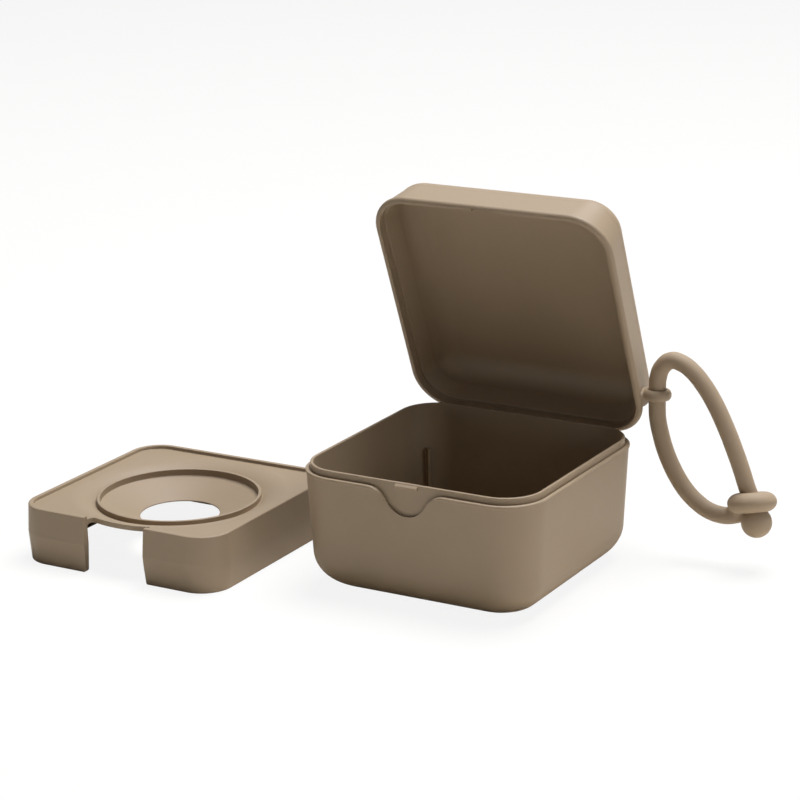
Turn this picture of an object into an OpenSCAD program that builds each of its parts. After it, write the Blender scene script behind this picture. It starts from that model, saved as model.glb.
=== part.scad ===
// Square travel case for sterilising soothers: base shell, hinged lid with a strap lug,
// loose steam tray and a silicone strap. Millimetres. Origin: centre of the base's foot,
// +X right, -Y front (thumb recess), +Z up. The lid stands open, the tray lies beside the base.

/* [Base] */
// width and depth at the rim
base_w = 90; // [80:1:100]
// height of the outer rim
base_h = 42; // [30:1:60]
// plan corner radius at the rim
base_r = 15.4; // [10:0.1:20]
// wall and floor thickness
base_wall = 2; // [1.2:0.1:3]
// inward slope of each wall, rim to foot curve
base_draft = 2; // [0:0.1:4]
// radius of the curve between wall and floor
foot_r = 12; // [4:0.5:16]
// how far the rim band stands out of the wall
rim_proud = 0.5; // [0:0.1:1]
// height of the rim band
rim_band = 2.2; // [1:0.1:4]
// rounding of the rim's outer edge
rim_round = 0.3; // [0.1:0.1:0.5]

/* [Lip] */
// distance from the rim's outside to the lip's outside
lip_in = 1.7; // [1:0.1:3]
// lip thickness
lip_t = 1.1; // [0.8:0.1:2]
// lip height above the rim
lip_h = 2.3; // [1:0.1:4]
// edge rounding of the lip
lip_round = 0.4; // [0.1:0.1:0.5]
// width and depth of the dark groove at the lip's foot
lip_groove = 0.4; // [0.2:0.1:0.6]

/* [Thumb recess and catch] */
// half width of the recess at the rim
recess_w = 14.5; // [8:0.5:20]
// depth of the recess below the rim
recess_h = 9; // [4:0.1:14]
// radius of the recess's rounded bottom
recess_r = 8.4; // [3:0.1:10]
// radius of the recess's shoulders
recess_shoulder_r = 7.5; // [4:0.5:12]
// catch nub length
nub_w = 8.4; // [4:0.1:12]
// top of the nub above the rim
nub_top = 1.85; // [1:0.05:1.85]
// how far the nub stands out of the lip
nub_out = 0.6; // [0.3:0.1:1]

/* [Tray ribs in the base] */
// rib thickness
rib_t = 1.25; // [1:0.05:2]
// height of the rib tops, where the tray rests in use
rib_top = 28; // [20:0.5:34]
// how far each rib stands out of the corner
rib_out = 2; // [1:0.5:6]

/* [Lid] */
// width and depth at the rim
lid_w = 91; // [80:0.1:102]
// lid height
lid_h = 19.4; // [12:0.1:30]
// plan corner radius at the rim
lid_r = 14.5; // [10:0.1:20]
// step behind the rim band
lid_band_proud = 0.4; // [0:0.1:1]
// height of the rim band
lid_band = 2; // [1:0.5:4]
// rounding of the rim's outer edge
lid_rim_round = 1.25; // [0.5:0.05:2]
// inward slope of each wall
lid_draft = 2.65; // [0:0.05:4]
// radius of the top edge
lid_top_r = 7.1; // [3:0.1:10]
// radius of the inside top edge
lid_inner_r = 8.5; // [3:0.1:10]
// thickness of the top
lid_top_t = 1.8; // [1.2:0.1:3]
// wall thickness beside the rabbet
lid_rim_t = 2.05; // [1.2:0.05:3]
// height of the rabbet that goes over the lip
rabbet_h = 3; // [2.5:0.1:5]
// width of the ledge at the top of the rabbet
rabbet_ledge = 0.85; // [0.5:0.05:2]
// gap between lid rim and base rim when shut
shut_gap = 0.15; // [0.05:0.05:0.5]
// how far the lid stands open
lid_open = 68; // [0:1:98]

/* [Hinge] */
// hinge axis behind the centre
hinge_y = 45; // [44:0.1:46]
// hinge axis above the foot
hinge_z = 41.4; // [40:0.1:42]
// lid barrel radius
barrel_r = 1.6; // [1.2:0.1:2.5]
// lid barrel length
barrel_len = 24; // [12:1:40]
// stub pin radius
stub_r = 0.9; // [0.6:0.05:1.4]
// stub pin length
stub_len = 2.4; // [1:0.1:4]
// base ear radius
ear_r = 2.2; // [1.8:0.1:3]
// base ear width
ear_w = 2.8; // [2:0.1:5]
// running clearance round the stub pins
pin_gap = 0.05; // [0.02:0.01:0.1]
// clearance round the barrel and between barrel and ears
hinge_gap = 0.25; // [0.1:0.05:0.5]

/* [Strap lug] */
// eye centre right of the case's centre
eye_x = 49.4; // [47:0.1:52]
// eye centre behind the case's centre, lid shut
eye_y = 30.6; // [20:0.1:34]
// eye centre above the lid's rim
eye_up = 5.6; // [4:0.1:10]
// lug radius round the eye
lug_r = 5.1; // [4:0.1:7]
// eye radius
eye_r = 3.2; // [3.1:0.1:4]
// lug thickness
lug_t = 3.8; // [2:0.1:6]
// radius of the flare where the lug meets the lid
lug_flare = 1.8; // [1:0.1:4]
// turn of the eye's axis from the lid's plane; it stands upright when the lid is open
lug_tilt = 26; // [0:1:40]

/* [Steam tray] */
// tray centre, right of and behind the case's centre
tray_pos = [-105.3, -23.2];
// tray width and depth at the top
tray_size = [82.6, 82.2];
// tray height
tray_h = 20.4; // [15:0.1:26]
// plan corner radius
tray_r = 11.2; // [8:0.1:16]
// skirt wall thickness
skirt_t = 1.8; // [1:0.1:2.5]
// height of the skirt's widest line
skirt_kink = 10.4; // [5:0.1:15]
// how far that line stands out
skirt_bulge = 0.5; // [0:0.1:1]
// width of the top edge
edge_w = 1.5; // [1:0.1:3]
// foot of the top edge's inner slope, from the outside
edge_foot = 2.3; // [1.5:0.1:4]
// height of the flat part of the plate
plate_z = 19.2; // [14:0.1:20]
// plate thickness
plate_t = 1.8; // [1:0.1:3]
// radius where the funnel starts
funnel_r = 37.4; // [30:0.1:39]
// radius of the central hole
hole_r = 14.2; // [8:0.1:20]
// height of the hole's edge
hole_z = 11.1; // [6:0.1:18]
// thickness of the cone beside the hole
hole_t = 1.2; // [0.8:0.1:2]
// thickness of the hole's edge, thinned from below
hole_edge_t = 0.35; // [0.2:0.05:1]
// width of that thinning
hole_thin = 1.6; // [0.5:0.1:3]
// ring rib outer radius
ring_r = 29.3; // [20:0.1:34]
// ring rib thickness
ring_t = 1.1; // [0.8:0.1:2]
// ring rib top
ring_z = 18.35; // [16:0.05:20]
// front notch, left and right edges from the tray's centre, above the skirt's widest line
notch = [-11.6, 12.9];
// how much each cheek of the notch falls back below that line
notch_flare = 0.6; // [0:0.1:1.5]
// rounding of the skirt's corners beside the notch, left and right
notch_round = [1.2, 0.6];

/* [Strap] */
// strap diameter
strap_d = 6; // [4:0.1:8]
// ring outside diameter
loop_od = 17.8; // [14:0.1:24]
// ring bar width
loop_bar = 5.4; // [3:0.1:6]
// ring bar height, its top and bottom half round
loop_h = 6.8; // [5.5:0.1:8]
// ball diameter
ball_d = 10.7; // [8:0.1:14]

/* [Hidden] */
$fn = 96;
far = 200;
taupe = "#9E8C77";
base_half = base_w / 2;
lid_half = lid_w / 2;
wall_in = lip_in + lip_t;
floor_in = base_draft + base_wall;
lid_z = base_h + shut_gap;
lid_top_flat = lid_h - lid_top_t;
cavity_in = lid_rim_t + rabbet_ledge;
cavity_top_in = cavity_in + 1.6;
ear_x = barrel_len / 2 + hinge_gap;
slope = (plate_z - hole_z) / (funnel_r - hole_r);
strap_sides = 12;

// routes of the two strap runs; both start in the middle of the eye, along its axis
long_route = [[49.4, 45.5, 57.1], [49.4, 45.5, 60.2], [49.75, 45.4, 63.9], [51.25, 45.4, 67.8],
              [54.6, 45.4, 70.5], [58.6, 45.4, 70], [62.5, 45.4, 67.7], [66.6, 45.4, 63.5],
              [70.4, 45.4, 58.2], [74.8, 45.4, 50.1], [78.6, 45.4, 41.6], [81.3, 45.4, 34.8],
              [83.75, 45.4, 28], [85.5, 45.3, 24.2], [87.7, 44, 17.4]];
short_route = [[49.4, 45.5, 57.1], [49.4, 45.5, 54], [49.7, 45.4, 49.1], [51.2, 45.4, 42.6],
               [52.65, 45.4, 38.1], [55.6, 45.4, 31.8], [58.15, 45.4, 27.7], [61.05, 45.4, 24.1],
               [64.9, 45.4, 20.8], [69.35, 45.4, 18.4], [74.6, 45.4, 17.5], [77.4, 45.4, 17.8],
               [80, 45.4, 18.6]];
loop_at = [85.5, 45.3, 24.2];
loop_turn = [-13, -11.2, 0];
ball_at = [87.7, 44, 17.4];

// ---------- shared construction ----------

// points of an arc from angle a0 to a1, both ends included
function arc(c, r, a0, a1, n = 8) =
    [for (i = [0:n]) let (a = a0 + (a1 - a0) * i / n) c + r * [cos(a), sin(a)]];

// sweeps a wall profile round a rounded rectangle; the profile's x is the distance inward
// from the outside, its y is the height
module swept(half_x, half_y, r) {
    for (sx = [-1, 1], sy = [-1, 1])
        translate([sx * (half_x - r), sy * (half_y - r), 0])
            rotate([0, 0, sx > 0 ? (sy > 0 ? 0 : -90) : (sy > 0 ? 90 : 180)])
                rotate_extrude(angle = 90) translate([r, 0]) mirror([1, 0]) children();
    for (s = [0, 180]) rotate([0, 0, s]) {
        straight(half_x, half_y - r) children();
        rotate([0, 0, 90]) straight(half_y, half_x - r) children();
    }
}

// one straight side of that sweep, facing +X
module straight(out, reach) {
    translate([out, reach, 0]) rotate([90, 0, 0])
        linear_extrude(2 * reach) mirror([1, 0]) children();
}

// flat middle of a swept shell
module middle(half_x, half_y, r, z0, z1) {
    translate([r - half_x, r - half_y, z0])
        cube([2 * (half_x - r), 2 * (half_y - r), z1 - z0]);
}

module along_x(r, len) {
    rotate([0, 90, 0]) cylinder(r = r, h = len, center = true);
}

// places a part drawn in the shut position where the opened lid has it
module opened() {
    translate([0, hinge_y, hinge_z]) rotate([-lid_open, 0, 0])
        translate([0, -hinge_y, -hinge_z]) children();
}

// ---------- base ----------

// wall, floor, rim band, groove and lip as one closed line, distance inward against height
function base_profile() = let (
        foot = [base_draft + foot_r, foot_r],
        top = base_h + lip_h - lip_round)
    concat(
        [[rim_round, base_h], [0, base_h - rim_round], [0, base_h - rim_band + rim_proud],
         [rim_proud, base_h - rim_band]],
        arc(foot, foot_r, 180, 270),
        [[base_r, 0], [base_r, base_wall]],
        arc(foot, foot_r - base_wall, 270, 180),
        arc([wall_in - lip_round, top], lip_round, 0, 90, 3),
        arc([lip_in + lip_round, top], lip_round, 90, 180, 3),
        [[lip_in, base_h - lip_groove], [lip_in - lip_groove, base_h - lip_groove],
         [lip_in - lip_groove, base_h]]);

// bell outline of the thumb recess, rim at y = 0: shoulder, rounded bottom, shoulder
function recess_outline() = let (
        low = [0, recess_r - recess_h],
        side = [recess_w, -recess_shoulder_r],
        span = side - low,
        a = atan2(span[1], span[0]) - acos((recess_r + recess_shoulder_r) / norm(span)))
    concat(
        [[recess_w, lip_h]],
        arc(side, recess_shoulder_r, 90, 180 + a),
        arc(low, recess_r, a, -180 - a, 12),
        arc([-side[0], side[1]], recess_shoulder_r, -a, 90),
        [[-recess_w, lip_h]]);

// vertical plates in the inner corners that carry the tray, sunk half a wall into the shell
module corner_ribs() {
    corner = (base_half - base_r) * sqrt(2) + base_r;
    sunk_r = foot_r - base_wall / 2;
    rib_in = floor_in + rib_out;
    side = concat(
        [[rib_in, rib_top], [wall_in, rib_top]],
        arc([base_draft + foot_r, foot_r], sunk_r, 180, 180 + acos((base_draft + foot_r - rib_in) / sunk_r), 3));
    for (a = [45:90:315]) rotate([0, 0, a]) translate([corner, 0, 0]) rotate([90, 0, 0])
        linear_extrude(rib_t, center = true) mirror([1, 0]) polygon(side);
}

module base_shell() color(taupe) {
    difference() {
        union() {
            swept(base_half, base_half, base_r) polygon(base_profile());
            middle(base_half, base_half, base_r, 0, base_wall);
            corner_ribs();
            for (s = [-1, 1]) translate([s * (ear_x + ear_w / 2), hinge_y, hinge_z])
                along_x(ear_r, ear_w);
        }
        translate([0, lip_in - base_half, base_h]) rotate([90, 0, 0])
            linear_extrude(lip_in + 1) polygon(recess_outline());
        translate([0, hinge_y, hinge_z]) {
            along_x(barrel_r + hinge_gap, 2 * ear_x);
            along_x(stub_r + pin_gap, 2 * (ear_x + ear_w) + 1);
        }
    }
    translate([-nub_w / 2, lip_in - base_half, base_h]) rotate([90, 0, 90]) linear_extrude(nub_w)
        polygon([[0.6, nub_top], [0, nub_top], [-nub_out, nub_top - 0.6], [-nub_out, 0.75], [0, 0.2],
                 [0.6, 0.2]]);
}

// ---------- lid ----------

// wall, top and rabbet as one closed line, distance inward against height above the rim
function lid_profile() = let (
        edge = [lid_draft + lid_top_r, lid_h - lid_top_r],
        inside = [cavity_top_in + lid_inner_r, lid_top_flat - lid_inner_r])
    concat(
        arc([lid_rim_round, lid_rim_round], lid_rim_round, 270, 180, 4),
        [[0, lid_band - lid_band_proud], [lid_band_proud, lid_band]],
        arc(edge, lid_top_r, 180, 90),
        [[lid_r, lid_h], [lid_r, lid_top_flat]],
        arc(inside, lid_inner_r, 90, 180),
        [[cavity_in, rabbet_h], [lid_rim_t, rabbet_h], [lid_rim_t, 0]]);

// lug drawn with its eye at the origin and the eye's axis along y; its root sinks in the wall
module lug() {
    reach = eye_x - lid_half + 3.2;
    flare_x = lid_half - eye_x - 0.7;
    difference() {
        intersection() {
            rotate([90, 0, 0]) linear_extrude(far, center = true) {
                circle(lug_r);
                translate([-reach, -lug_r]) square([reach, 2 * lug_r]);
            }
            translate([0, 0, -far / 2]) linear_extrude(far) difference() {
                union() {
                    translate([-reach, -lug_t / 2]) square([reach + lug_r, lug_t]);
                    translate([-reach, -lug_t / 2 - lug_flare])
                        square([reach + flare_x + lug_flare, lug_t + 2 * lug_flare]);
                }
                for (s = [-1, 1]) translate([flare_x + lug_flare, s * (lug_t / 2 + lug_flare)])
                    circle(lug_flare);
            }
        }
        rotate([90, 0, 0]) cylinder(r = eye_r, h = lug_t + 1, center = true);
    }
}

module lid_shut() {
    translate([0, 0, lid_z]) difference() {
        union() {
            swept(lid_half, lid_half, lid_r) polygon(lid_profile());
            middle(lid_half, lid_half, lid_r, lid_top_flat, lid_h);
        }
        for (s = [-1, 1]) translate([s * (ear_x + ear_w / 2), hinge_y, hinge_z - lid_z])
            along_x(ear_r + hinge_gap + 0.1, ear_w + 2 * hinge_gap);
        translate([0, lid_rim_t - lid_half - 0.3, 0])
            cube([nub_w + 1.5, 1.4, 2 * (nub_top - shut_gap + 0.3)], center = true);
    }
    translate([0, hinge_y, hinge_z]) {
        along_x(barrel_r, barrel_len);
        along_x(stub_r, barrel_len + 2 * stub_len);
    }
    // the root stays out of the rabbet and the cavity, and above the rim
    difference() {
        translate([eye_x, eye_y, lid_z + eye_up]) rotate([-lug_tilt, 0, 0]) lug();
        translate([lid_half - 12, 0, lid_z - 8]) cube([10, 60, 8 + rabbet_h + 0.2]);
        translate([lid_half - 12.8, 0, lid_z - 8]) cube([10, 60, 8 + 6]);
        translate([lid_half - 12, 0, lid_z - 8]) cube([24, 60, 8.25]);
    }
}

module lid_shell() color(taupe) opened() lid_shut();

// ---------- steam tray ----------

module tray_skirt_profile() {
    polygon([[edge_w, tray_h], [0.5, tray_h], [0, tray_h - 0.5], [-skirt_bulge, skirt_kink],
             [0.4, 0], [0.4 + skirt_t, 0], [0.2 + skirt_t, skirt_kink],
             [skirt_t, plate_z - plate_t], [edge_foot, plate_z - plate_t], [edge_foot, plate_z]]);
}

// cone, hole edge and ring rib, as one turned shape
module tray_funnel() {
    rib_in = ring_r - ring_t;
    low = (plate_z - plate_t - hole_z + hole_t) / (funnel_r + 0.4 - hole_r);
    rotate_extrude() {
        polygon([[hole_r, hole_z], [funnel_r, plate_z], [funnel_r + 0.4, plate_z],
                 [funnel_r + 0.4, plate_z - plate_t],
                 [hole_r + hole_thin, hole_z - hole_t + low * hole_thin], [hole_r, hole_z - hole_edge_t]]);
        polygon([[rib_in, hole_z + slope * (rib_in - hole_r) - 0.5], [rib_in, ring_z], [ring_r, ring_z],
                 [ring_r, hole_z + slope * (ring_r - hole_r) - 0.5]]);
    }
}

module steam_tray() color(taupe) translate([tray_pos[0], tray_pos[1], 0]) {
    half = tray_size / 2;
    difference() {
        union() {
            swept(half[0], half[1], tray_r) tray_skirt_profile();
            difference() {
                translate([0, 0, plate_z - plate_t]) linear_extrude(plate_t) tray_plate(half);
                cylinder(r = funnel_r, h = tray_h);
            }
        }
        difference() {
            translate([0, 10 - half[1], 0]) rotate([90, 0, 0]) linear_extrude(12)
                polygon(concat(notch_cheek(notch[0], -1, notch_round[0]),
                               [for (i = [4:-1:0]) notch_cheek(notch[1], 1, notch_round[1])[i]]));
            translate([0, 0, -2]) cylinder(r = funnel_r + 0.4, h = tray_h + 4);
        }
    }
    tray_funnel();
}

// plan of the plate inside the skirt
module tray_plate(half) {
    r = tray_r - edge_foot + 0.2;
    inner = half - [1, 1] * (edge_foot - 0.2);
    square([2 * inner[0], 2 * (inner[1] - r)], center = true);
    square([2 * (inner[0] - r), 2 * inner[1]], center = true);
    for (sx = [-1, 1], sy = [-1, 1])
        translate([sx * (inner[0] - r), sy * (inner[1] - r)]) circle(r);
}

// one cheek of the notch from above the tray to below the table, side -1 left, 1 right
function notch_cheek(x, side, r) = let (low = x + side * notch_flare)
    [[x, tray_h + 2], [x, skirt_kink], [low, r], [low + side * 0.3 * r, 0.3 * r],
     [low + side * (0.3 * r + 1.2), -1]];

// ---------- strap ----------

function tangent(route, i) =
    let (d = route[min(i + 1, len(route) - 1)] - route[max(i - 1, 0)]) d / norm(d);

// one ring of points round the route, square to it
function ring_at(route, i) =
    let (t = tangent(route, i), side = cross(t, [0, 1, 0]), n = side / norm(side), m = cross(n, t))
    [for (k = [0:strap_sides - 1]) let (a = 360 * k / strap_sides)
        route[i] + strap_d / 2 * (cos(a) * n + sin(a) * m)];

// round silicone run along a route
module run(route) {
    m = strap_sides;
    last = len(route) - 1;
    polyhedron(
        points = [for (i = [0:last]) each ring_at(route, i)],
        faces = concat(
            [[for (k = [0:m - 1]) m - 1 - k]],
            [[for (k = [0:m - 1]) last * m + k]],
            [for (i = [0:last - 1], k = [0:m - 1])
                [i * m + k, i * m + (k + 1) % m, (i + 1) * m + (k + 1) % m, (i + 1) * m + k]]));
}

module strap_run_long() color(taupe) run(long_route);

module strap_run_short() color(taupe) run(short_route);

module strap_ring() color(taupe) translate(loop_at) rotate(loop_turn)
    rotate_extrude() let (r = loop_bar / 2, x = loop_od / 2 - r, z = loop_h / 2 - r)
        polygon(concat(arc([x, z], r, 0, 180, 12), arc([x, -z], r, 180, 360, 12)));

module strap_ball() color(taupe) translate(ball_at) rotate_extrude() intersection() {
    circle(ball_d / 2);
    translate([0, -ball_d / 2]) square([ball_d / 2, ball_d]);
}

base_shell();
lid_shell();
steam_tray();
strap_run_long();
strap_run_short();
strap_ring();
strap_ball();
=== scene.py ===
"""Pacifier sterilizer case, open on a pale table, with its steam tray beside it and its strap
hanging from the lid. Lengths in the shape functions are millimetres, as in the part's source."""

import math

import bmesh
import bpy
from mathutils import Matrix, Vector


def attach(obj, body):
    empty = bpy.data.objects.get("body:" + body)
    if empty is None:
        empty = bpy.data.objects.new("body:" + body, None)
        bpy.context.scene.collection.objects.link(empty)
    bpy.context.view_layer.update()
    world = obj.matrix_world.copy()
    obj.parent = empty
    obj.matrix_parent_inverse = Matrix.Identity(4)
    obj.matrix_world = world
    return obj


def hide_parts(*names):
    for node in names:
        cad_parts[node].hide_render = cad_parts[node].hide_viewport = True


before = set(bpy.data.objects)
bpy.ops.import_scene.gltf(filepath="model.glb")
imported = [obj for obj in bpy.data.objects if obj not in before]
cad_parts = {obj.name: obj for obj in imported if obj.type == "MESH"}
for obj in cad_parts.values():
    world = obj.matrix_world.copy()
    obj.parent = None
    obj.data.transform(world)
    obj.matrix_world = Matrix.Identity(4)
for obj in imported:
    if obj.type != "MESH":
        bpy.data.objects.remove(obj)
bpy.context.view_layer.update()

MM = 0.001                         # a millimetre in metres
OPEN = math.radians(68)            # how far the lid stands open
HINGE = Vector((0, 45, 41.4))      # a point of the hinge's axis, which runs along x
EYE = Vector((49.4, 30.6, 47.75))  # centre of the strap's eye, lid shut
TRAY = Vector((-105.3, -23.2, 0))  # where the tray lies


# ---------- camera, at the photograph's angle ----------

CAMERA_ANGLES = (30.17, 16.85, -1.08)  # azimuth, elevation and roll in degrees
CAMERA_PLACE = Vector((0.4118, -0.75487, 0.3221))
SENSOR, LENS = 36, 118.92


def add_camera():
    az, el, roll = [math.radians(angle) for angle in CAMERA_ANGLES]
    right = Vector((math.cos(az), math.sin(az), 0))
    back = Vector((math.sin(az) * math.cos(el), -math.cos(az) * math.cos(el), math.sin(el)))
    up = back.cross(right)
    right, up = (right * math.cos(roll) + up * math.sin(roll),
                 up * math.cos(roll) - right * math.sin(roll))
    data = bpy.data.cameras.new("camera")
    data.sensor_width = SENSOR
    data.lens = LENS
    camera = bpy.data.objects.new("camera", data)
    turn = Matrix((right, up, back)).transposed().to_4x4()
    camera.matrix_world = Matrix.Translation(CAMERA_PLACE) @ turn
    bpy.context.collection.objects.link(camera)
    bpy.context.scene.camera = camera


add_camera()


# ---------- materials ----------

def srgb(code):
    """An sRGB hex colour as linear RGBA."""
    values = [int(code[i:i + 2], 16) / 255 for i in (1, 3, 5)]
    return [v / 12.92 if v <= 0.04045 else ((v + 0.055) / 1.055) ** 2.4 for v in values] + [1]


def add_node(tree, kind, links=(), **settings):
    """Adds a node, sets its sockets and properties, and links (socket, source) pairs to it."""
    node = tree.nodes.new(kind)
    for name, value in settings.items():
        if name in node.inputs:
            node.inputs[name].default_value = value
        else:
            setattr(node, name, value)
    for socket, source in links:
        tree.links.new(source, node.inputs[socket])
    return node


def moulded(name, light, dark, roughness, grain, pits, soft):
    """A moulded material: a slow drift between two near colours and a fine bump from the mould.
    Soft is the share of light that goes under the surface."""
    material = bpy.data.materials.new(name)
    material.use_nodes = True
    tree = material.node_tree
    shader = tree.nodes["Principled BSDF"]
    shader.inputs["Roughness"].default_value = roughness
    shader.inputs["IOR"].default_value = 1.49
    shader.inputs["Subsurface Weight"].default_value = soft
    shader.inputs["Subsurface Radius"].default_value = (1.0, 0.7, 0.5)
    shader.inputs["Subsurface Scale"].default_value = 0.0015
    place = add_node(tree, "ShaderNodeTexCoord").outputs["Object"]
    drift = add_node(tree, "ShaderNodeTexNoise", [("Vector", place)], Scale=22.0, Detail=2.0)
    ramp = add_node(tree, "ShaderNodeValToRGB", [("Fac", drift.outputs["Fac"])])
    ramp.color_ramp.elements[0].color = srgb(dark)
    ramp.color_ramp.elements[0].position = 0.3
    ramp.color_ramp.elements[1].color = srgb(light)
    ramp.color_ramp.elements[1].position = 0.7
    tree.links.new(ramp.outputs["Color"], shader.inputs["Base Color"])
    # spark-eroded mould grain
    speck = add_node(tree, "ShaderNodeTexNoise", [("Vector", place)], Scale=grain, Detail=3.0,
                     Roughness=0.6)
    bump = add_node(tree, "ShaderNodeBump", [("Height", speck.outputs["Fac"])], Strength=pits,
                    Distance=0.00005)
    tree.links.new(bump.outputs["Normal"], shader.inputs["Normal"])
    return material


# polypropylene, injection moulded in a spark-eroded mould: warm taupe, matt, a soft broad sheen
case_plastic = moulded("moulded_polypropylene", "#99846B", "#948067", roughness=0.55,
                       grain=2600.0, pits=0.35, soft=0.05)
# silicone, compression moulded: the same taupe, dustier and without the sheen
strap_silicone = moulded("moulded_silicone", "#A08B72", "#9B866D", roughness=0.7,
                         grain=3200.0, pits=0.3, soft=0.1)


# ---------- shared construction ----------

CORNER_STEPS = 16  # faces round a quarter turn of a wall
WELD = 0.001       # points nearer than this are one


def arc(centre, radius, start, end, steps=8):
    """Points of an arc from one angle to another, in degrees, both ends included."""
    angles = [math.radians(start + (end - start) * i / steps) for i in range(steps + 1)]
    return [(centre[0] + radius * math.cos(a), centre[1] + radius * math.sin(a)) for a in angles]


def half_oval(centre_r, half_r, half_z, steps=20):
    """The outer half of an upright oval, from its foot to its top."""
    return [(centre_r + half_r * a, half_z * b) for a, b in arc((0, 0), 1, -90, 90, steps)]


def chain(bm, points):
    """A line of vertices and edges through 3D points."""
    verts = [bm.verts.new(p) for p in points]
    return verts + [bm.edges.new(pair) for pair in zip(verts, verts[1:])]


def rotate(bm, matrix):
    """Turns a whole bmesh about the origin."""
    bmesh.ops.rotate(bm, verts=bm.verts, cent=(0, 0, 0), matrix=matrix)


def move(bm, way):
    """Shifts a whole bmesh."""
    bmesh.ops.translate(bm, verts=bm.verts, vec=way)


def round_edges(bm, edges, offset):
    """Rounds edges of a bmesh in two steps."""
    bmesh.ops.bevel(bm, geom=edges, offset=offset, offset_type="OFFSET", segments=2,
                    affect="EDGES", profile=0.5, material=-1)


def close_ends(bm):
    """Fills every open loop with a flat face and points all faces outwards."""
    bmesh.ops.holes_fill(bm, edges=[e for e in bm.edges if e.is_boundary], sides=0)
    bmesh.ops.recalc_face_normals(bm, faces=bm.faces)


def swept_wall(profile, half_x, half_y, radius):
    """Carries a line of (inset, height) points round a rounded rectangle, in four spins and four
    straight extrusions, and closes both ends with flat faces."""
    bm = bmesh.new()
    line = chain(bm, [(half_x - u, half_y - radius, z) for u, z in profile])
    span_x, span_y = 2 * (half_x - radius), 2 * (half_y - radius)
    corners = [(1, 1, (-span_x, 0, 0)), (-1, 1, (0, -span_y, 0)),
               (-1, -1, (span_x, 0, 0)), (1, -1, (0, span_y, 0))]
    for sx, sy, way in corners:
        centre = (sx * (half_x - radius), sy * (half_y - radius), 0)
        line = bmesh.ops.spin(bm, geom=line, cent=centre, axis=(0, 0, 1), angle=math.pi / 2,
                              steps=CORNER_STEPS)["geom_last"]
        edges = [e for e in line if isinstance(e, bmesh.types.BMEdge)]
        line = bmesh.ops.extrude_edge_only(bm, edges=edges)["geom"]
        line = [g for g in line if not isinstance(g, bmesh.types.BMFace)]
        bmesh.ops.translate(bm, verts=[v for v in line if isinstance(v, bmesh.types.BMVert)],
                            vec=way)
    bmesh.ops.remove_doubles(bm, verts=bm.verts, dist=WELD)
    close_ends(bm)
    return bm


def turned(profile, steps=128):
    """Turns a profile of (radius, height) points round the z axis."""
    bm = bmesh.new()
    line = chain(bm, [(r, 0, z) for r, z in profile])
    bmesh.ops.spin(bm, geom=line, cent=(0, 0, 0), axis=(0, 0, 1), angle=2 * math.pi, steps=steps,
                   use_merge=True)
    bmesh.ops.remove_doubles(bm, verts=bm.verts, dist=WELD)
    bmesh.ops.recalc_face_normals(bm, faces=bm.faces)
    return bm


def lofted(outlines):
    """Skins a row of closed outlines of 3D points into one solid bar."""
    bm = bmesh.new()
    loops = []
    for outline in outlines:
        verts = [bm.verts.new(point) for point in outline]
        loops.append([bm.edges.new((verts[i - 1], v)) for i, v in enumerate(verts)])
    for near, far in zip(loops, loops[1:]):
        bmesh.ops.bridge_loops(bm, edges=near + far)
    close_ends(bm)
    return bm


def prism(outline, place, depth):
    """Extrudes a closed 2D outline: place turns (a, b) into a 3D point, depth is the travel."""
    bm = bmesh.new()
    face = bm.faces.new([bm.verts.new(place(a, b)) for a, b in outline])
    body = bmesh.ops.extrude_face_region(bm, geom=[face])["geom"]
    bmesh.ops.translate(bm, verts=[v for v in body if isinstance(v, bmesh.types.BMVert)],
                        vec=depth)
    bmesh.ops.recalc_face_normals(bm, faces=bm.faces)
    return bm


def make_object(name, bm):
    """Turns a bmesh in millimetres into an object in metres, at the origin."""
    bmesh.ops.scale(bm, vec=(MM,) * 3, verts=bm.verts)
    mesh = bpy.data.meshes.new(name)
    bm.to_mesh(mesh)
    bm.free()
    obj = bpy.data.objects.new(name, mesh)
    bpy.context.collection.objects.link(obj)
    return obj


def hinge_rod(name, radius, length, x=0):
    """A round bar on the hinge's axis, with rounded ends."""
    bm = bmesh.new()
    bmesh.ops.create_cone(bm, cap_ends=True, segments=32, radius1=radius, radius2=radius,
                          depth=length)
    rims = [e for e in bm.edges if abs(e.verts[0].co.z - e.verts[1].co.z) < 1e-6]
    round_edges(bm, rims, 0.2)
    rotate(bm, Matrix.Rotation(math.pi / 2, 3, "Y"))
    move(bm, (x, HINGE.y, HINGE.z))
    return make_object(name, bm)


def block(name, size, centre):
    """A box."""
    bm = bmesh.new()
    bmesh.ops.create_cube(bm, size=1)
    bmesh.ops.scale(bm, vec=size, verts=bm.verts)
    move(bm, centre)
    return make_object(name, bm)


def apply_modifiers(obj):
    """Replaces an object's mesh by what its modifiers make of it."""
    depsgraph = bpy.context.evaluated_depsgraph_get()
    mesh = bpy.data.meshes.new_from_object(obj.evaluated_get(depsgraph))
    obj.modifiers.clear()
    obj.data = mesh


def combine(obj, operation, tools):
    """Cuts or joins solid tools with an object, one after another, and removes them."""
    for tool in tools:
        modifier = obj.modifiers.new(operation, "BOOLEAN")
        modifier.operation = operation
        modifier.solver = "EXACT"
        modifier.object = tool
        apply_modifiers(obj)
        bpy.data.objects.remove(tool)


def soften(obj, cell, rounds):
    """Runs the joined parts of a moulding into each other: an even mesh, then smoothed."""
    remesh = obj.modifiers.new("even_mesh", "REMESH")
    remesh.mode = "VOXEL"
    remesh.voxel_size = cell * MM
    smooth = obj.modifiers.new("soft_edges", "SMOOTH")
    smooth.factor = 0.5
    smooth.iterations = rounds
    apply_modifiers(obj)


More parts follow.
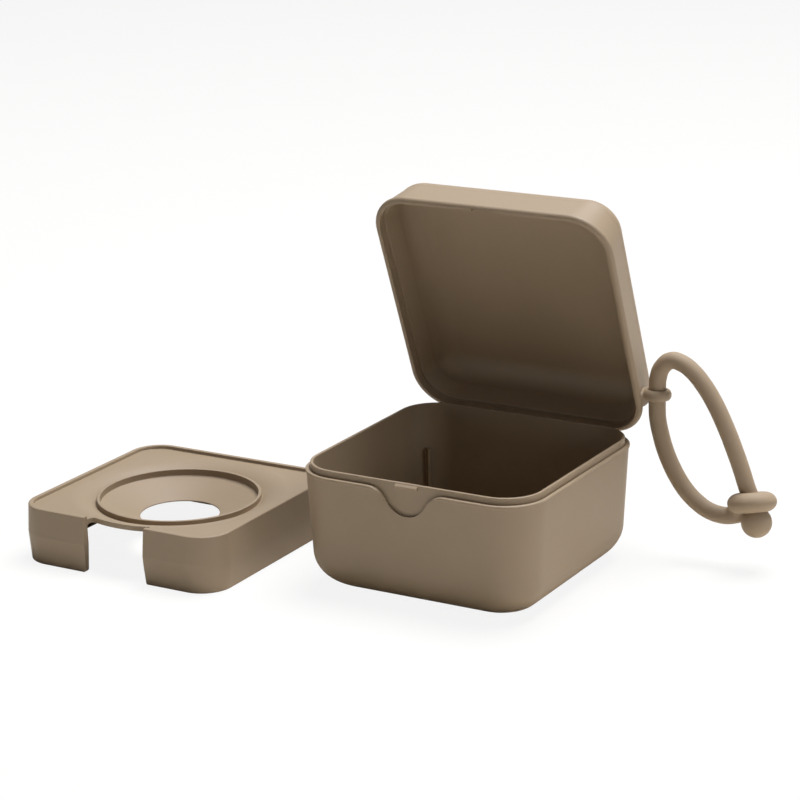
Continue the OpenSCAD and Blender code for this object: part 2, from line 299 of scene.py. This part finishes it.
def finish_piece(obj, body, material, nodes, sharp=32):
    """Smooth shading with crisp edges, the material, and the piece's place in the model."""
    bm = bmesh.new()
    bm.from_mesh(obj.data)
    bmesh.ops.remove_doubles(bm, verts=bm.verts, dist=2e-6)
    bmesh.ops.dissolve_degenerate(bm, edges=bm.edges, dist=2e-6)
    limit = math.radians(sharp)
    for face in bm.faces:
        face.smooth = True
    for edge in bm.edges:
        edge.smooth = len(edge.link_faces) == 2 and edge.calc_face_angle(0) < limit
    bm.to_mesh(obj.data)
    bm.free()
    weighted = obj.modifiers.new("even_shading", "WEIGHTED_NORMAL")
    weighted.keep_sharp = True
    weighted.weight = 100
    obj.data.materials.clear()
    obj.data.materials.append(material)
    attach(obj, body)
    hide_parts(*nodes)


# ---------- strap ----------

LONG_ROUTE = [(49.4, 45.5, 57.1), (49.4, 45.5, 60.2), (49.75, 45.4, 63.9), (51.25, 45.4, 67.8),
              (54.6, 45.4, 70.5), (58.6, 45.4, 70), (62.5, 45.4, 67.7), (66.6, 45.4, 63.5),
              (70.4, 45.4, 58.2), (74.8, 45.4, 50.1), (78.6, 45.4, 41.6), (81.3, 45.4, 34.8),
              (83.75, 45.4, 28), (85.5, 45.3, 24.2), (87.7, 44, 17.4)]
SHORT_ROUTE = [(49.4, 45.5, 57.1), (49.4, 45.5, 54), (49.7, 45.4, 49.1), (51.2, 45.4, 42.6),
               (52.65, 45.4, 38.1), (55.6, 45.4, 31.8), (58.15, 45.4, 27.7), (61.05, 45.4, 24.1),
               (64.9, 45.4, 20.8), (69.35, 45.4, 18.4), (74.6, 45.4, 17.5), (77.4, 45.4, 17.8),
               (80, 45.4, 18.6)]
STRAP_D = 6.0
BALL_R = 5.35
RING_AT = (85.4, 45.3, 23.85)
RING_LEAN = (-13, -11.2)  # degrees about x, then about y
END_R, WEB_R = 3.05, 2.6  # the short run's end inside the ring, and the web beside it


def strap_run(name, route, node):
    """A round silicone run: one smooth curve through the route's points."""
    curve = bpy.data.curves.new(name, "CURVE")
    curve.dimensions = "3D"
    curve.resolution_u = 8
    curve.bevel_depth = STRAP_D / 2 * MM
    curve.bevel_resolution = 8
    curve.use_fill_caps = True
    line = curve.splines.new("BEZIER")
    line.bezier_points.add(len(route) - 1)
    for point, place in zip(line.bezier_points, route):
        point.co = Vector(place) * MM
        point.handle_left_type = point.handle_right_type = "AUTO"
    obj = bpy.data.objects.new(name, curve)
    bpy.context.collection.objects.link(obj)
    curve.materials.append(strap_silicone)
    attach(obj, "strap")
    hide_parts(node)


def round_bar(start, end, radius):
    """A bar with round ends between two points."""
    span = Vector(end) - Vector(start)
    bm = bmesh.new()
    bmesh.ops.create_uvsphere(bm, u_segments=40, v_segments=24, radius=radius)
    bmesh.ops.translate(bm, verts=[v for v in bm.verts if v.co.z > 1e-5], vec=(0, 0, span.length))
    rotate(bm, span.to_track_quat("Z", "Y").to_matrix())
    move(bm, start)
    return bm


def make_strap():
    # a thick puck of a ring, closed on the long run; the short run ends in its underside
    section = [(2.9, -3.3), *half_oval(4.3, 4.25, 3.5), (2.9, 3.3), (2.9, -3.3)]
    ring = turned(section, steps=72)
    lean_x, lean_y = [math.radians(angle) for angle in RING_LEAN]
    rotate(ring, Matrix.Rotation(lean_y, 3, "Y") @ Matrix.Rotation(lean_x, 3, "X"))
    move(ring, RING_AT)
    ring = make_object("strap_ring_moulding", ring)
    ends = [round_bar(SHORT_ROUTE[-2], SHORT_ROUTE[-1], END_R),
            round_bar(SHORT_ROUTE[-1], (81.8, 45.1, 21), END_R),
            round_bar((78, 45.4, 18.7), (80.6, 45.3, 22), WEB_R)]
    combine(ring, "UNION", [make_object("run_end", end) for end in ends])
    soften(ring, 0.22, 26)
    finish_piece(ring, "strap", strap_silicone, ["strap_ring"], sharp=80)
    ball = bmesh.new()
    bmesh.ops.create_uvsphere(ball, u_segments=48, v_segments=32, radius=BALL_R)
    move(ball, LONG_ROUTE[-1])
    ball = make_object("strap_ball_moulding", ball)
    finish_piece(ball, "strap", strap_silicone, ["strap_ball"])
    strap_run("strap_long_side", LONG_ROUTE, "strap_run_long")
    strap_run("strap_short_side", SHORT_ROUTE, "strap_run_short")


make_strap()


# ---------- base shell ----------

BASE_HALF, BASE_R, RIM_Z = 45, 15.4, 42
FOOT_R = 13.1
INNER_FOOT, INNER_FOOT_R = (14, 12), 10  # centre of the inside's round foot as (inset, height)
RIB_TOP, RIB_HALF = 28, 0.62
EAR_X = 13.65


def recess_cutter():
    """Bell-shaped bar for the thumb recess; it widens outwards, which rounds the recess's edge."""
    low, low_r, side, side_r = Vector((0, -0.6)), 8.4, Vector((14.5, -7.5)), 7.5
    span = side - low
    lean = math.degrees(math.atan2(span.y, span.x) - math.acos((low_r + side_r) / span.length))

    def outline(grow):
        right = arc(side, side_r - grow, 90, 180 + lean, 14)
        bottom = arc(low, low_r + grow, lean, -180 - lean, 20)
        left = arc((-side.x, side.y), side_r - grow, -lean, 90, 14)
        shoulder = 0.15 - grow
        return [(15.3, shoulder), *right, *bottom, *left, (-15.3, shoulder), (-16, 4), (16, 4)]

    # the edge's rounding is that of the wall's top edge, so the two run into each other
    rounding = [(-44.55 - 0.45 * math.sin(a), 0.45 - 0.45 * math.cos(a))
                for a in [math.radians(t) for t in (0, 15, 30, 45, 60, 75, 88)]]
    return lofted([[(a, y, RIM_Z + b) for a, b in outline(grow)]
                   for y, grow in ((-43.3, 0), *rounding, (-47, 0.5))])


def round_foot(bm):
    """Rounds the foot's corners more than the wall above them, as a basin's are."""
    # edge lines in the straight stretches beside the corners, which the rounding moves
    for place in (20, 23, 26, 28.4):
        for sign in (-1, 1):
            for normal in ((1, 0, 0), (0, 1, 0)):
                bmesh.ops.bisect_plane(bm, geom=bm.verts[:] + bm.edges[:] + bm.faces[:], dist=1e-4,
                                       plane_co=Vector(normal) * place * sign, plane_no=normal)
    centre = BASE_HALF - BASE_R
    for vert in bm.verts:
        a, b, z = abs(vert.co.x), abs(vert.co.y), vert.co.z
        if z >= FOOT_R or max(a, b) < 29:
            continue
        past = math.hypot(a - centre, b - centre) if min(a, b) > centre else 0
        half = centre + past if past else max(a, b)
        share = max(0, (BASE_HALF - half - 2) / FOOT_R) * min(1, (FOOT_R - z) / 6)
        radius = max(0.01, BASE_R - (BASE_HALF - half)) + 8.1 * share ** 1.3
        low = half - radius
        if min(a, b) > low:
            out = Vector((a - low, b - low)).normalized() * radius
            vert.co.x = math.copysign(low + out.x, vert.co.x)
            vert.co.y = math.copysign(low + out.y, vert.co.y)


def make_base():
    # up the inside, over the stepped rim with its fine band, down the outside
    profile = [*arc(INNER_FOOT, INNER_FOOT_R, 270, 180, 14), (3.4, 28),
               *arc((2.4, 43.9), 0.4, 0, 90, 5), *arc((2.1, 43.9), 0.4, 90, 180, 5),
               (1.7, 41.6), (1.3, 41.6), (1.3, 41.9), (1.2, 42),
               *arc((0.45, 41.55), 0.45, 90, 180, 5), (0, 41.15), (0.06, 41.0), (0.2, 40.9),
               (0.34, 40.82), (0.38, 40.7), *arc((FOOT_R + 2, FOOT_R), FOOT_R, 180, 270, 18)]
    wall = swept_wall(profile, BASE_HALF, BASE_HALF, BASE_R)
    round_foot(wall)
    base = make_object("case_base", wall)
    tools = [make_object("recess_tool", recess_cutter()),
             hinge_rod("barrel_tool", 1.85, 24.5), hinge_rod("pin_tool", 0.95, 31.5)]
    ears = [hinge_rod("ear", 2.2, 2.8, x) for x in (-EAR_X, EAR_X)]
    combine(base, "UNION", ears)
    combine(base, "DIFFERENCE", tools)
    # catch nub and the four thin ribs that carry the tray
    wedge = prism([(0.9, 2.31), (0.7, 2.31), (-0.86, 1.42), (-0.95, 1.3), (-0.95, 0.95), (0, 0.2),
                   (0.9, 0.2)],
                  lambda a, b: (-4.15, a - 43.3, RIM_Z + b), (8.3, 0, 0))
    parts = [make_object("nub", wedge)]
    corner = (BASE_HALF - BASE_R) * math.sqrt(2) + BASE_R
    outline = [(6, RIB_TOP), (2.9, RIB_TOP), *arc(INNER_FOOT, INNER_FOOT_R + 1, 180, 223.3, 6)]
    for angle in (45, 135, 225, 315):
        rib = prism(outline, lambda u, z: (corner - u, -RIB_HALF, z), (0, 2 * RIB_HALF, 0))
        edges = [e for e in rib.edges if all(abs(v.co.x - (corner - 6)) < 0.01 for v in e.verts)
                 or all(abs(v.co.z - RIB_TOP) < 0.01 for v in e.verts)]
        round_edges(rib, edges, 0.3)
        rotate(rib, Matrix.Rotation(math.radians(angle), 3, "Z"))
        parts.append(make_object("rib", rib))
    combine(base, "UNION", parts)
    finish_piece(base, "base", case_plastic, ["base_shell"])


make_base()


# ---------- lid shell ----------

LID_HALF, LID_R, LID_Z = 45.5, 14.5, 42.15
LUG_TILT = math.radians(-26)
LUG_SHIFT = Vector((0, -0.5, 0.2))
BORE_R = 3.36


def make_lug():
    """Strap lug: an eye with a round rim, run into the wall by a flared root."""
    rim = [(3.0, -1.7), *half_oval(3.45, 1.55, 2.0), (3.0, 1.7), (3.0, -1.7)]
    eye = turned(rim, steps=72)
    # trumpet along x: narrow at the eye, wide at the wall, where it bends down
    root = turned([(0, -7.1), (3.3, -7.1), (3.3, -4.6), (2.9, -4.1), (2.55, -3.65), (2.25, -3.15),
                   (2.0, -2.6), (1.85, -2.0), (1.75, -1.4), (0, -1.4)], steps=48)
    rotate(root, Matrix.Rotation(math.pi / 2, 3, "Y"))
    bmesh.ops.scale(root, vec=(1, 1.5, 1), verts=root.verts)
    for reach in (-2.8, -3.4, -3.9, -4.4):
        bmesh.ops.translate(root, verts=[v for v in root.verts if v.co.x < reach],
                            vec=(0, 0, -0.4))
    bore = bmesh.new()
    bmesh.ops.create_cone(bore, cap_ends=True, segments=64, radius1=BORE_R, radius2=BORE_R,
                          depth=14)
    lug = make_object("lug", eye)
    combine(lug, "UNION", [make_object("root", root)])
    combine(lug, "DIFFERENCE", [make_object("bore", bore)])
    soften(lug, 0.18, 30)
    lug.data.transform(Matrix.Translation((EYE + LUG_SHIFT) * MM)
                       @ Matrix.Rotation(LUG_TILT + math.pi / 2, 4, "X"))
    return lug


def make_lid():
    # down the inside to the step that takes the base's rim, then up the outside with its groove
    profile = [*arc((12.9, 9.1), 8.5, 90, 180, 14), (3.0, 3.3), *arc((2.7, 3.2), 0.2, 360, 270, 3),
               (2.05, 3), (2.05, 0.2), (1.95, 0), (1.3, 0), *arc((1.25, 1.25), 1.25, 265, 180, 7),
               (0, 1.6), (0.12, 1.85), (0.36, 2.05), (0.46, 2.3),
               *arc((9.75, 12.3), 7.1, 180, 90, 14)]
    shell = swept_wall(profile, LID_HALF, LID_HALF, LID_R)
    move(shell, (-0.1, 0, LID_Z))
    lid = make_object("case_lid", shell)
    tools = [hinge_rod("notch_tool", 2.55, 3.3, x) for x in (-EAR_X, EAR_X)]
    tools.append(block("pocket_tool", (10, 1.4, 3.6), (0, 2.05 - LID_HALF - 0.3, LID_Z)))
    combine(lid, "DIFFERENCE", tools)
    combine(lid, "UNION", [hinge_rod("barrel", 1.6, 24), hinge_rod("pins", 0.9, 28.8)])
    lug = make_lug()
    # cut the root back from the lid's inside, from its step and from the base
    cuts = [block("cut", (30, 60, 8 + top), (x - 15, 30, LID_Z + (top - 8) / 2))
            for x, top in ((43.5, 3.2), (42.7, 6), (60, 0.25))]
    combine(lug, "DIFFERENCE", cuts)
    combine(lid, "UNION", [lug])
    pivot = Matrix.Translation(HINGE * MM)
    lid.data.transform(pivot @ Matrix.Rotation(-OPEN, 4, "X") @ pivot.inverted())
    finish_piece(lid, "lid", case_plastic, ["lid_shell"])


make_lid()


# ---------- steam tray ----------

TRAY_HALF, TRAY_R = (41.3, 41.1), 11.2
PLATE_Z = 19.2
FUNNEL_R, HOLE_R, HOLE_Z = 37.4, 14.2, 11.1
BLEND_R, RING_R = 38.7, 29.65  # the funnel's soft start lies between these


def make_tray():
    slope = (PLATE_Z - HOLE_Z) / (FUNNEL_R - HOLE_R)

    def cone(r):
        return HOLE_Z + slope * (r - HOLE_R)

    # over the plate's edge and the lip, down the skirt with its crease, back up its inner side
    skirt = [(2.5, 19.2), (2.1, 19.22), (1.95, 19.35), (1.86, 20.15), (1.72, 20.36), (1.5, 20.4),
             *arc((0.5, 19.9), 0.5, 90, 180, 5), (-0.49, 10.5), (-0.49, 10.3),
             (0.3, 0.35), *arc((0.6, 0.3), 0.3, 180, 270, 3), (2.0, 0), (2.2, 0.2), (2.0, 10.4),
             (1.8, 17.0), (2.1, 17.4), (2.5, 17.4)]
    tray = make_object("steam_tray_body", swept_wall(skirt, *TRAY_HALF, TRAY_R))
    # funnel: a cone added below the plate, then hollowed with the ring rib left standing
    cone_below = turned([(0, 18.6), (37.7, 18.6), (37.75, 17.39), (15.8, 10.41), (HOLE_R, 10.75),
                         (0, 10.75)])
    drop = (PLATE_Z - cone(RING_R)) / (BLEND_R - RING_R) ** 2
    bowl = [(r, PLATE_Z - drop * (BLEND_R - r) ** 2)
            for r in (37.8, 36.9, 35.8, 34.6, 33.4, 32.2, 31)]
    well = turned([(0, 30), (BLEND_R + 0.05, 30), (BLEND_R, PLATE_Z + 0.02), *bowl,
                   (RING_R, cone(RING_R)), (29.4, cone(29.4) + 0.1), (29.3, cone(29.3) + 0.35),
                   *arc((29.05, 18.1), 0.25, 0, 90, 3), *arc((28.45, 18.1), 0.25, 90, 180, 3),
                   (28.2, cone(28.2) + 0.35), (28.1, cone(28.1) + 0.1), (27.85, cone(27.85)),
                   (14.6, cone(14.6)), *arc((14.4, 10.95), 0.2, 105, 180, 3), (HOLE_R, 8), (0, 8)])
    combine(tray, "UNION", [make_object("cone_below", cone_below)])
    combine(tray, "DIFFERENCE", [make_object("well", well)])
    combine(tray, "DIFFERENCE", [make_object("notch_tool", notch_cutter())])
    tray.data.transform(Matrix.Translation(TRAY * MM))
    finish_piece(tray, "tray", case_plastic, ["steam_tray"])


def notch_cutter():
    """Bar for the finger notch: a round back on the funnel's edge, small inner rounds, cheeks that
    fall back below the skirt's widest line, and rounded lower corners."""
    back_r, small, edge = 37.8, 1.4, 0.35
    left_x, right_x, front_y = -11.6, 12.9, -41.6

    def inner_round(x, turn):
        # small circle tangent to the cheek and to the back
        cx = x + turn * small
        cy = -math.sqrt((back_r + small) ** 2 - cx * cx)
        return cx, cy, math.degrees(math.atan2(-cy, -cx))

    def outline(left, right):
        lx, ly, lt = inner_round(left, 1)
        rx, ry, rt = inner_round(right, -1)
        back = (math.degrees(math.atan2(ly, lx)), math.degrees(math.atan2(ry, rx)))
        return [(left - edge, -43.5), *arc((left - edge, front_y + edge), edge, -90, 0, 3),
                *arc((lx, ly), small, 180, lt, 6), *arc((0, 0), back_r, *back, 24)[1:-1],
                *arc((rx, ry), small, rt, 0, 6),
                *arc((right + edge, front_y + edge), edge, 180, 270, 3), (right + edge, -43.5)]

    # height, and how far each cheek stands back there
    levels = [(24, 0, 0.55), (20.4, 0, 0.45), (10.4, 0, -0.15)]
    for turn in range(0, 91, 15):
        z = 1.2 * (1 - math.sin(math.radians(turn)))
        back = 1 - math.cos(math.radians(turn))
        levels.append((z, 0.6 + 1.2 * back, 0.45 + 0.6 * back))
    levels.append((-1, 1.8, 1.05))
    return lofted([[(a, b, z) for a, b in outline(left_x - far_left, right_x + far_right)]
                   for z, far_left, far_right in levels])


make_tray()


# ---------- table and light ----------

TABLE_GLOW = 0.88      # share of plain white in what the camera sees of the table
WORLD_LIGHT = 0.0055   # strength of the world as a light
WORLD_SHEEN = 0.65     # share of white surroundings in reflections
DAYLIGHT = (0.912, 0.948, 1.0)
LAMPS = [  # name, place and aim in metres, size in metres, power in watts
    ("overhead", (0.1, 0.35, 1.3), (0, 0, 0.03), 0.8, 28.8),
    ("right_side", (1.3, -0.1, 0.5), (0, 0, 0.04), 0.7, 3.8),
    ("low_front", (-0.5, -1.4, 0.12), (0, 0, 0.04), 0.25, 0.82)]


def make_stage():
    """A plain pale table. The camera sees it close to white, and it still takes soft shadows."""
    bm = bmesh.new()
    bmesh.ops.create_grid(bm, x_segments=1, y_segments=1, size=3000)
    floor = make_object("table", bm)
    material = bpy.data.materials.new("pale_table")
    material.use_nodes = True
    tree = material.node_tree
    tree.nodes.remove(tree.nodes["Principled BSDF"])
    paint = add_node(tree, "ShaderNodeBsdfDiffuse", Color=srgb("#F2ECE2"))
    glow = add_node(tree, "ShaderNodeEmission", Color=(1, 1, 1, 1), Strength=1.0)
    seen = add_node(tree, "ShaderNodeLightPath").outputs["Is Camera Ray"]
    share = add_node(tree, "ShaderNodeMath", [(0, seen)], operation="MULTIPLY")
    share.inputs[1].default_value = TABLE_GLOW
    mix = add_node(tree, "ShaderNodeMixShader", [("Fac", share.outputs[0])])
    tree.links.new(paint.outputs[0], mix.inputs[1])
    tree.links.new(glow.outputs[0], mix.inputs[2])
    tree.links.new(mix.outputs[0], tree.nodes["Material Output"].inputs["Surface"])
    floor.data.materials.append(material)


def add_light(name, place, aim, size, power):
    data = bpy.data.lights.new(name, "AREA")
    data.shape = "DISK"
    data.size = size
    data.energy = power
    data.color = DAYLIGHT
    light = bpy.data.objects.new(name, data)
    light.location = place
    light.rotation_euler = (Vector(aim) - Vector(place)).to_track_quat("-Z", "Y").to_euler()
    bpy.context.collection.objects.link(light)


def make_light():
    world = bpy.context.scene.world or bpy.data.worlds.new("world")
    bpy.context.scene.world = world
    world.use_nodes = True
    tree = world.node_tree
    plain = tree.nodes["Background"]
    plain.inputs["Color"].default_value = (1, 1, 1, 1)
    plain.inputs["Strength"].default_value = WORLD_LIGHT
    white = add_node(tree, "ShaderNodeBackground", Color=(1, 1, 1, 1), Strength=1.0)
    path = add_node(tree, "ShaderNodeLightPath")
    # the camera sees a white world, and reflections see most of it, which whitens the tops
    seen = add_node(tree, "ShaderNodeMath", [(0, path.outputs["Is Glossy Ray"]),
                                             (2, path.outputs["Is Camera Ray"])],
                    operation="MULTIPLY_ADD", use_clamp=True)
    seen.inputs[1].default_value = WORLD_SHEEN
    mix = add_node(tree, "ShaderNodeMixShader", [("Fac", seen.outputs[0])])
    tree.links.new(plain.outputs[0], mix.inputs[1])
    tree.links.new(white.outputs[0], mix.inputs[2])
    tree.links.new(mix.outputs[0], tree.nodes["World Output"].inputs["Surface"])
    for lamp in LAMPS:
        add_light(*lamp)


make_stage()
make_light()
bpy.context.scene.view_settings.view_transform = "Standard"
